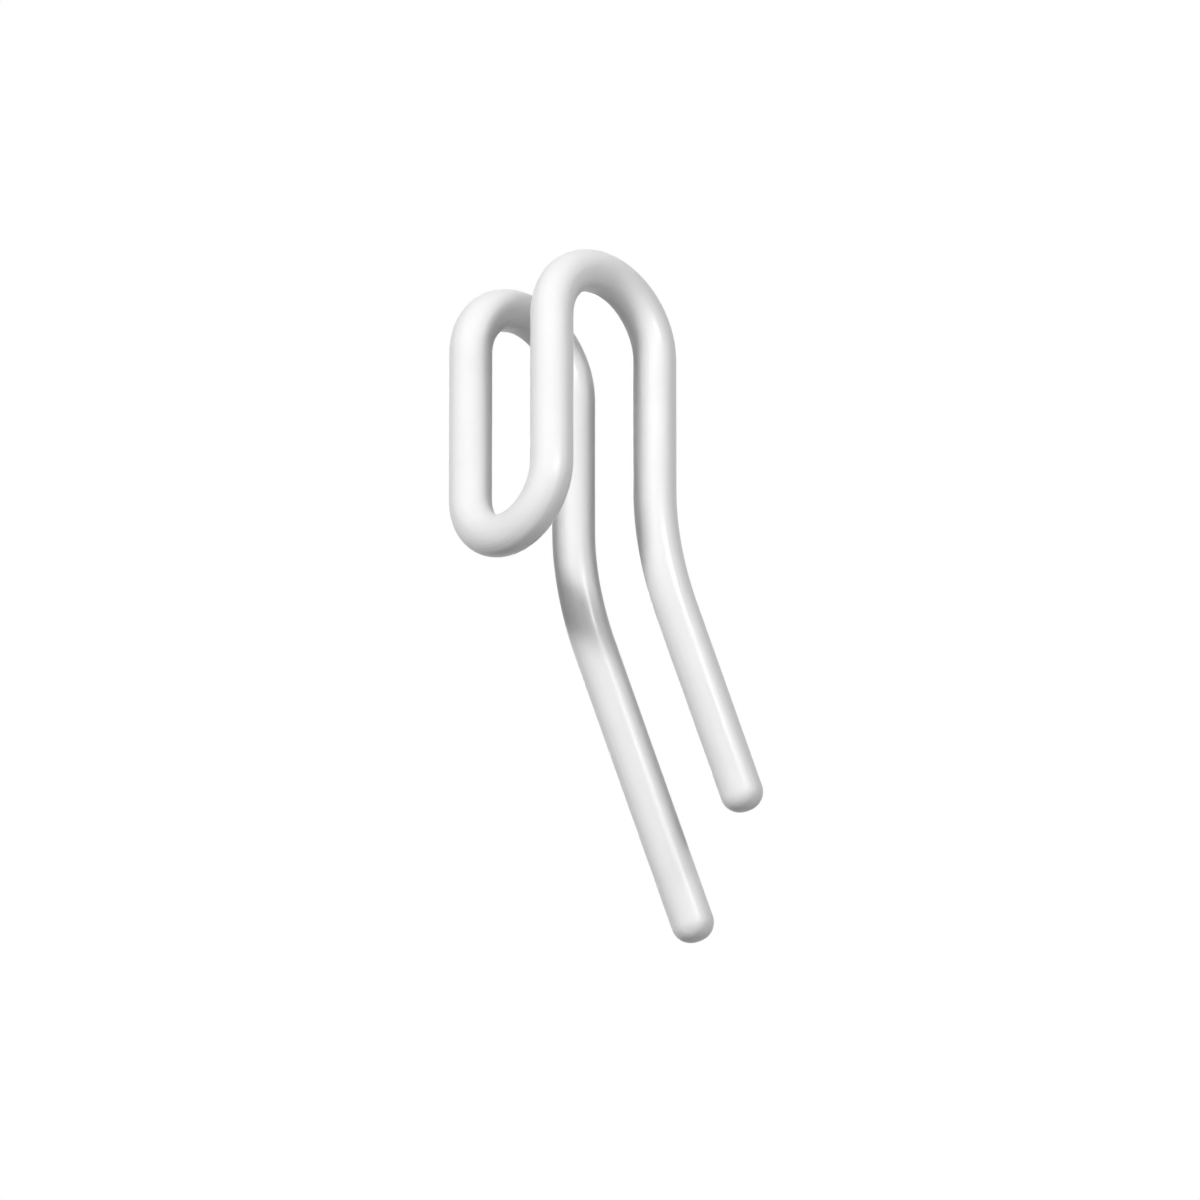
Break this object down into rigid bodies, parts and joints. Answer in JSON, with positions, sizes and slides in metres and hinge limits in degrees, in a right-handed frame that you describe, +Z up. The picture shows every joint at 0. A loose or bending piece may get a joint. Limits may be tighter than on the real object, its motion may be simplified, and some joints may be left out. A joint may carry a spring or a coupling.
{
  "type": "curtain hook",
  "caption": "Curtain hook bent from round wire: side-by-side arches hang over a rail or glider, a closed nose stands in front, and prongs of unequal length lean back into the header tape.",
  "frame": {"origin": "the hanging point: midway between the two arches, level with the underside of their crowns", "axes": "+Z up as the hook hangs; -Y to the front, where the closed nose is; +Y to the back, the way the prongs lean; -X to the side of the long prong"},
  "size_m": [0.0074, 0.0162, 0.0298],
  "materials": {
    "white_coat": "semi-gloss"
  },
  "bodies": {
    "root": {"hook_wire": "white_coat"}
  },
  "joints": []
}
